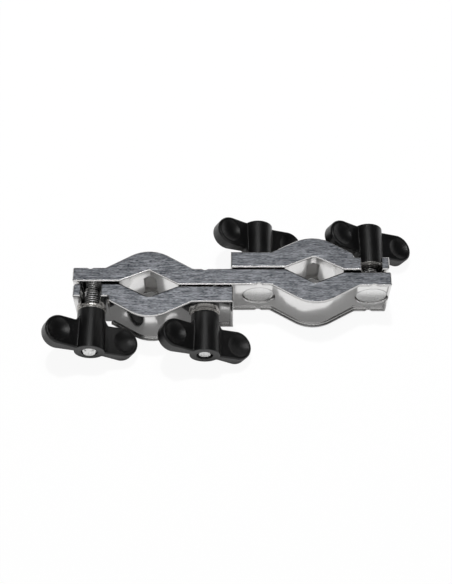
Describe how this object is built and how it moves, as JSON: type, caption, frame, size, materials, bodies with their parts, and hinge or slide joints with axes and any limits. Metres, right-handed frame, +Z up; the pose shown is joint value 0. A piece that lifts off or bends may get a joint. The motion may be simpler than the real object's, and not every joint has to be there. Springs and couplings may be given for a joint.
{
  "type": "percussion multi clamp",
  "caption": "Cast S-shaped bar with a V jaw near each end, loose jaws held by bolts and black wing nuts, for joining the tubes and rods of drum hardware.",
  "frame": {"origin": "under the middle of the bar, on the surface that the clamp lies on", "axes": "+X along the bar, +Y to the back, away from the front clamp's wing nuts, +Z up, to the open side of the slots"},
  "size_m": [0.1998, 0.0782, 0.031],
  "materials": {
    "cast_aluminium": "brushed top and bottom, polished sides",
    "plated_steel": "bright plated",
    "washer_steel": "bright plated",
    "insert_steel": "plated",
    "wing_plastic": "satin, fine grain"
  },
  "bodies": {
    "bar": {"clamp_body": "cast_aluminium", "front_inner_bolt": "plated_steel", "front_outer_bolt": "plated_steel", "back_inner_bolt": "plated_steel", "back_outer_bolt": "plated_steel"},
    "front_inner_washer": {"front_inner_washer": "washer_steel"},
    "front_inner_nut": {"front_inner_wing": "wing_plastic", "front_inner_insert": "insert_steel"},
    "front_outer_washer": {"front_outer_washer": "washer_steel"},
    "front_outer_nut": {"front_outer_wing": "wing_plastic", "front_outer_insert": "insert_steel"},
    "front_jaw": {"front_jaw": "cast_aluminium"},
    "back_inner_washer": {"back_inner_washer": "washer_steel"},
    "back_inner_nut": {"back_inner_wing": "wing_plastic", "back_inner_insert": "insert_steel"},
    "back_outer_washer": {"back_outer_washer": "washer_steel"},
    "back_outer_nut": {"back_outer_wing": "wing_plastic", "back_outer_insert": "insert_steel"},
    "back_jaw": {"back_jaw": "cast_aluminium"}
  },
  "joints": [
    {"name": "front_inner_washer_slide", "type": "slide", "parent": "bar", "child": "front_inner_washer", "axis": [0, -1, 0], "range_m": [0, 0.014]},
    {"name": "front_inner_nut_spin", "type": "hinge", "parent": "front_inner_washer", "child": "front_inner_nut", "pos_m": [-0.0144, -0.0137, 0.0155], "axis": [0, -1, 0], "range_deg": [0, 4032]},
    {"name": "front_jaw_swing", "type": "hinge", "parent": "front_inner_washer", "child": "front_jaw", "pos_m": [-0.0144, -0.0137, 0.0155], "axis": [0, -1, 0], "range_deg": [0, 100]},
    {"name": "front_outer_washer_slide", "type": "slide", "parent": "bar", "child": "front_outer_washer", "axis": [0, -1, 0], "range_m": [0, 0.014]},
    {"name": "front_outer_nut_spin", "type": "hinge", "parent": "front_outer_washer", "child": "front_outer_nut", "pos_m": [-0.0753, -0.0117, 0.0155], "axis": [0, -1, 0], "range_deg": [0, 4032]},
    {"name": "back_inner_washer_slide", "type": "slide", "parent": "bar", "child": "back_inner_washer", "axis": [0, 1, 0], "range_m": [0, 0.014]},
    {"name": "back_inner_nut_spin", "type": "hinge", "parent": "back_inner_washer", "child": "back_inner_nut", "pos_m": [0.0144, 0.0137, 0.0155], "axis": [0, 1, 0], "range_deg": [0, 4032]},
    {"name": "back_jaw_swing", "type": "hinge", "parent": "back_inner_washer", "child": "back_jaw", "pos_m": [0.0144, 0.0137, 0.0155], "axis": [0, 1, 0], "range_deg": [0, 100]},
    {"name": "back_outer_washer_slide", "type": "slide", "parent": "bar", "child": "back_outer_washer", "axis": [0, 1, 0], "range_m": [0, 0.014]},
    {"name": "back_outer_nut_spin", "type": "hinge", "parent": "back_outer_washer", "child": "back_outer_nut", "pos_m": [0.0753, 0.0117, 0.0155], "axis": [0, 1, 0], "range_deg": [0, 4032]}
  ],
  "couplings": [
    {"joint": "front_inner_nut_spin", "follows": "front_inner_washer_slide", "rad_per_m": 5026.5},
    {"joint": "front_outer_washer_slide", "follows": "front_inner_washer_slide", "ratio": 1},
    {"joint": "front_outer_nut_spin", "follows": "front_inner_washer_slide", "rad_per_m": 5026.5},
    {"joint": "back_inner_nut_spin", "follows": "back_inner_washer_slide", "rad_per_m": 5026.5},
    {"joint": "back_outer_washer_slide", "follows": "back_inner_washer_slide", "ratio": 1},
    {"joint": "back_outer_nut_spin", "follows": "back_inner_washer_slide", "rad_per_m": 5026.5}
  ]
}
